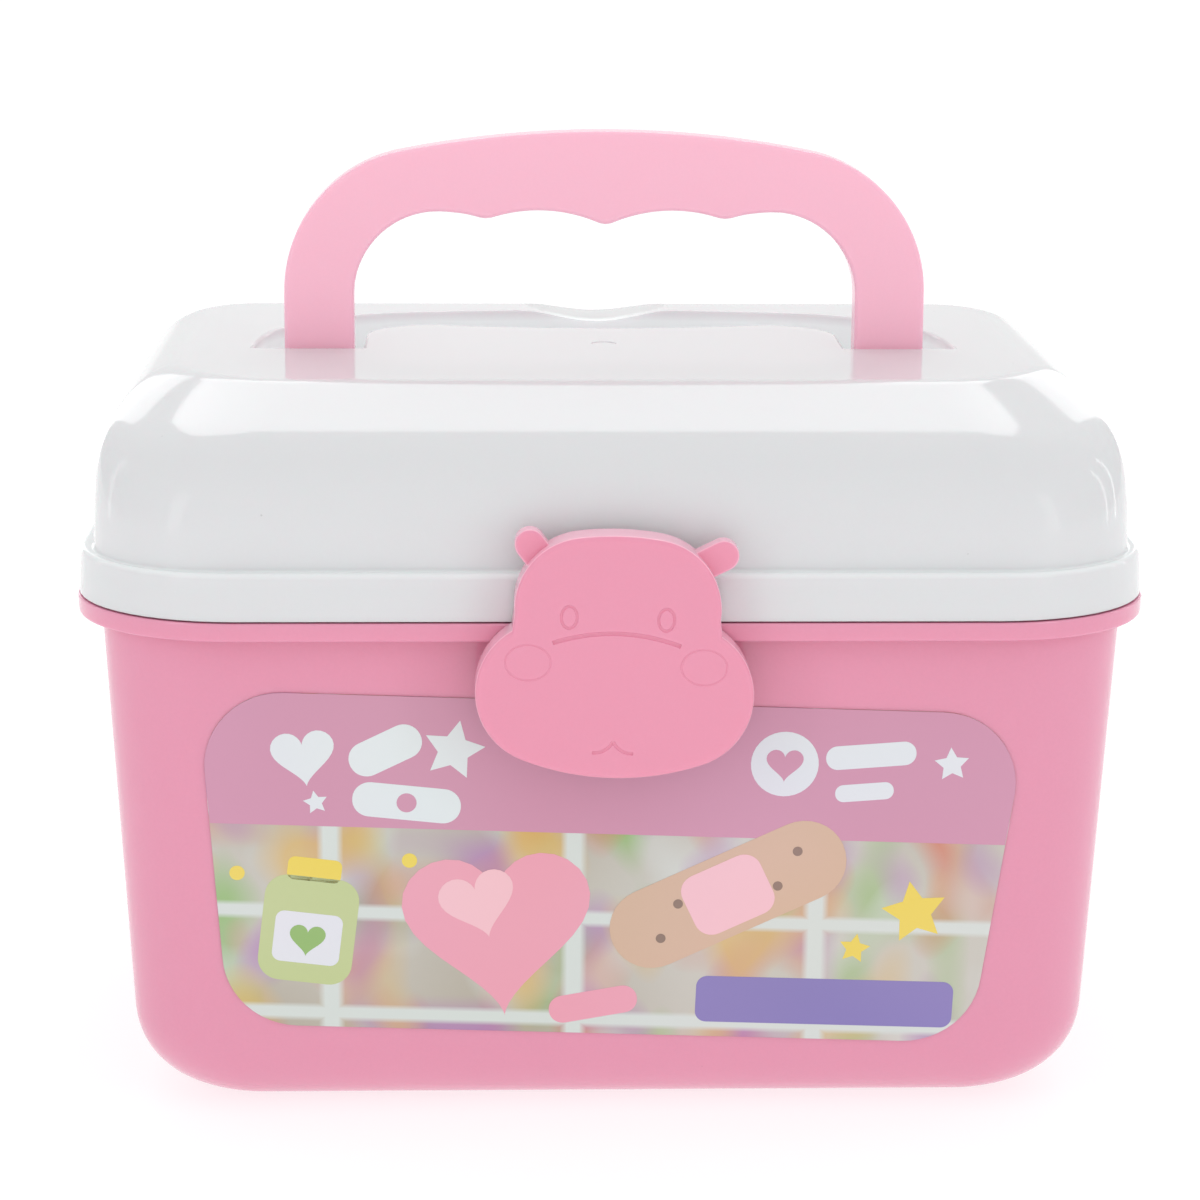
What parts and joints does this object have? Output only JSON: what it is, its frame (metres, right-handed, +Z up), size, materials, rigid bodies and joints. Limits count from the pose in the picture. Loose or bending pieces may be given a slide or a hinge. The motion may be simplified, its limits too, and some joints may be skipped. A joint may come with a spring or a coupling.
{
  "type": "toy doctor case",
  "caption": "Tapered plastic toy case with a flanged bin, domed hinged lid, fold-down carrying handle and an animal-face latch.",
  "frame": {"origin": "centre of the flat underside, on the surface the case stands on", "axes": "+Z up, -Y towards the front with the latch and label, +X to the right seen from the front"},
  "size_m": [0.24, 0.2042, 0.2154],
  "materials": {
    "bin_plastic": "glossy rose pink polypropylene, faintly translucent",
    "lid_plastic": "glossy white polypropylene",
    "handle_plastic": "semi-gloss pale pink polypropylene",
    "latch_plastic": "semi-gloss pink polypropylene with engraved lines",
    "label_film": "printed glossy film with a faint pearly sheen",
    "pin_plastic": "plain pink plastic"
  },
  "bodies": {
    "bin_body": {"bin": "bin_plastic", "front_label": "label_film", "hinge_pin_left": "pin_plastic", "hinge_pin_right": "pin_plastic"},
    "lid_body": {"lid": "lid_plastic", "handle_pin_left": "pin_plastic", "handle_pin_right": "pin_plastic", "latch_pin": "pin_plastic"},
    "handle_body": {"handle": "handle_plastic"},
    "latch_body": {"latch": "latch_plastic"}
  },
  "joints": [
    {"name": "lid_hinge", "type": "hinge", "parent": "bin_body", "child": "lid_body", "pos_m": [0, 0.0978, 0.11795], "axis": [-1, 0, 0], "range_deg": [0, 105]},
    {"name": "handle_fold", "type": "hinge", "parent": "lid_body", "child": "handle_body", "pos_m": [0, 0.001, 0.158], "axis": [-1, 0, 0], "range_deg": [0, 90]},
    {"name": "latch_swing", "type": "hinge", "parent": "lid_body", "child": "latch_body", "pos_m": [0, -0.0958, 0.1335], "axis": [-1, 0, 0], "range_deg": [0, 90]}
  ]
}
